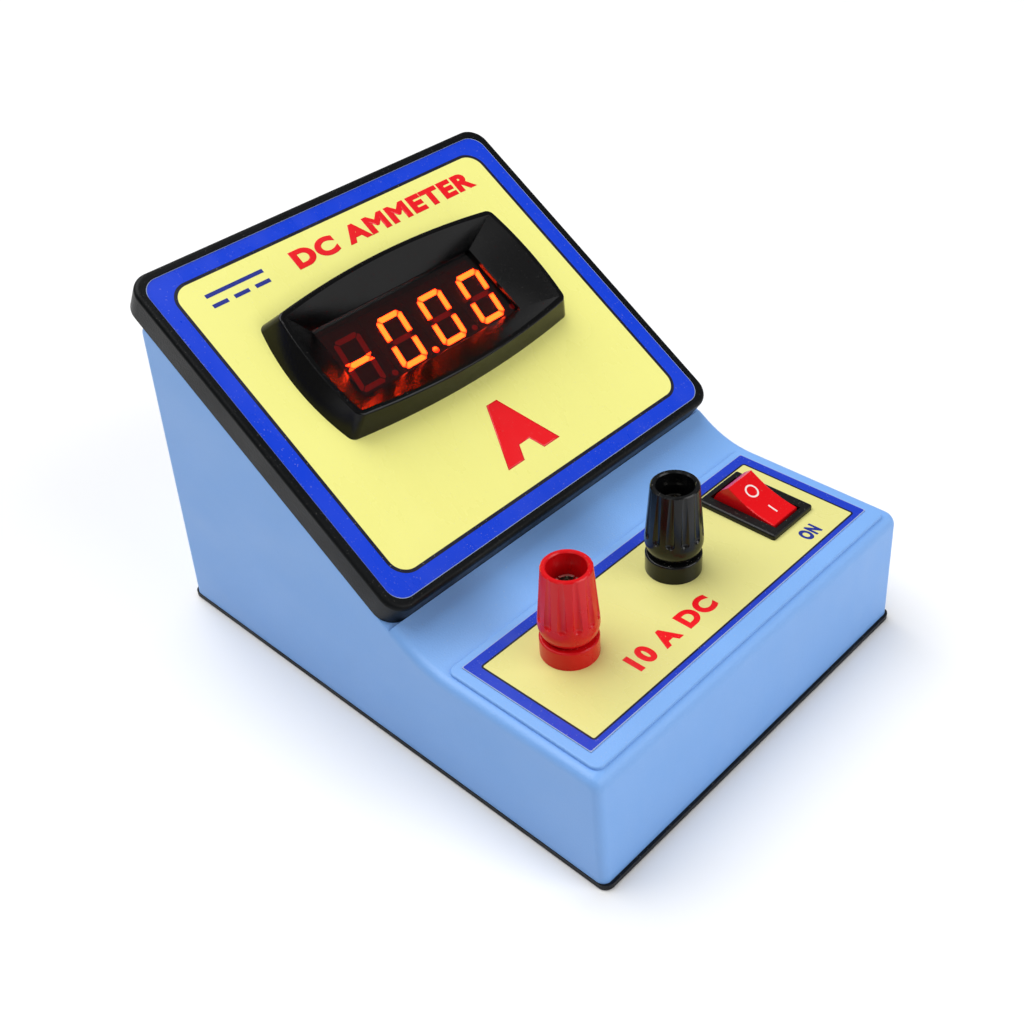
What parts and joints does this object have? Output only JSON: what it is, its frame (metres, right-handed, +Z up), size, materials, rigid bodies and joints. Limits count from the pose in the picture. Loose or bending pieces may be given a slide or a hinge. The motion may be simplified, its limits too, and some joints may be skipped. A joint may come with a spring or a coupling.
{
  "type": "digital bench ammeter",
  "caption": "Bench direct-current ammeter in a sloping case: lit digital display, screw-down terminals and a rocker switch.",
  "frame": {"origin": "middle of the base plate's underside", "axes": "+X to the right of someone facing the display, front towards -Y, +Z up"},
  "size_m": [0.1046, 0.1386, 0.0915],
  "materials": {
    "case_plastic": "satin moulded light blue",
    "black_plastic": "satin moulded black",
    "red_plastic": "gloss moulded red",
    "printed_sheet": "printed polyester, yellow with a blue border",
    "filter_acrylic": "polished dark red acrylic",
    "digit_case": "moulded digit housing",
    "digit_light": "cast translucent light segments",
    "circuit_board": "green solder mask on glass epoxy",
    "component_black": "moulded epoxy",
    "component_box": "dipped film capacitor boxes",
    "trimmer_blue": "moulded blue",
    "capacitor_sleeve": "shrunk sleeve on an aluminium can",
    "brass": "turned brass",
    "nickel_plate": "nickel plated brass",
    "zinc_steel": "zinc plated steel",
    "core_steel": "varnished steel laminations",
    "bobbin_nylon": "moulded nylon",
    "winding_tape": "yellow tape over enamelled copper",
    "manganin": "bare resistance alloy strip",
    "fuse_glass": "glass tube",
    "rubber": "moulded rubber"
  },
  "bodies": {
    "root": {"base_plate": "black_plastic", "base_screws": "zinc_steel", "black_post_base": "black_plastic", "black_post_stud": "nickel_plate", "board_standoffs": "brass", "bridge_rectifier": "component_black", "case_shell": "case_plastic", "centre_terminal": "brass", "converter_chip": "component_black", "cord_grommet": "rubber", "deck_label": "printed_sheet", "digit_1": "digit_case", "digit_2": "digit_case", "digit_3": "digit_case", "digit_4": "digit_case", "digit_segments_1": "digit_light", "digit_segments_2": "digit_light", "digit_segments_3": "digit_light", "digit_segments_4": "digit_light", "display_bezel": "black_plastic", "display_board": "circuit_board", "display_board_screws": "zinc_steel", "display_filter": "filter_acrylic", "end_terminal": "brass", "film_capacitors": "component_box", "front_panel": "black_plastic", "fuse": "fuse_glass", "fuse_clips": "nickel_plate", "panel_label": "printed_sheet", "panel_screws": "zinc_steel", "post_nuts": "nickel_plate", "post_washers": "zinc_steel", "power_board": "circuit_board", "power_board_screws": "zinc_steel", "red_post_base": "red_plastic", "red_post_stud": "nickel_plate", "shunt": "manganin", "smoothing_capacitor": "capacitor_sleeve", "solder_tags": "nickel_plate", "standoff_screws": "zinc_steel", "switch_housing": "black_plastic", "transformer_bobbin": "bobbin_nylon", "transformer_core": "core_steel", "transformer_nuts": "zinc_steel", "transformer_screws": "zinc_steel", "transformer_strap": "zinc_steel", "transformer_winding": "winding_tape", "trimmer_body": "trimmer_blue", "voltage_regulator": "component_black"},
    "rocker": {"switch_rocker": "red_plastic", "switch_plunger": "zinc_steel", "switch_spring": "zinc_steel"},
    "lever": {"contact_lever": "brass"},
    "trimmer_rotor": {"trimmer_screw": "brass"},
    "red_bush": {"red_post_bush": "brass"},
    "red_cap": {"red_post_cap": "red_plastic"},
    "black_bush": {"black_post_bush": "brass"},
    "black_cap": {"black_post_cap": "black_plastic"}
  },
  "joints": [
    {"name": "rocker_tilt", "type": "hinge", "parent": "root", "child": "rocker", "pos_m": [0.0327, -0.0419, 0.02995], "axis": [1, 0, 0], "range_deg": [-40, 0]},
    {"name": "lever_tilt", "type": "hinge", "parent": "root", "child": "lever", "pos_m": [0.0327, -0.0419, 0.02385], "axis": [1, 0, 0], "range_deg": [0, 16]},
    {"name": "trimmer_turn", "type": "hinge", "parent": "root", "child": "trimmer_rotor", "pos_m": [0.022, 0.05008, 0.06279], "axis": [0, -0.5505, 0.8348], "range_deg": [-120, 120]},
    {"name": "red_cap_lift", "type": "slide", "parent": "root", "child": "red_bush", "axis": [0, 0, 1], "range_m": [0, 0.005]},
    {"name": "red_cap_turn", "type": "hinge", "parent": "red_bush", "child": "red_cap", "pos_m": [-0.0294, -0.0406, 0.045], "axis": [0, 0, 1], "range_deg": [0, 1800]},
    {"name": "black_cap_lift", "type": "slide", "parent": "root", "child": "black_bush", "axis": [0, 0, 1], "range_m": [0, 0.005]},
    {"name": "black_cap_turn", "type": "hinge", "parent": "black_bush", "child": "black_cap", "pos_m": [0.0044, -0.0406, 0.045], "axis": [0, 0, 1], "range_deg": [0, 1800]}
  ],
  "couplings": [
    {"joint": "lever_tilt", "follows": "rocker_tilt", "ratio": -0.4},
    {"joint": "red_cap_turn", "follows": "red_cap_lift", "rad_per_m": 6283.2},
    {"joint": "black_cap_turn", "follows": "black_cap_lift", "rad_per_m": 6283.2}
  ]
}
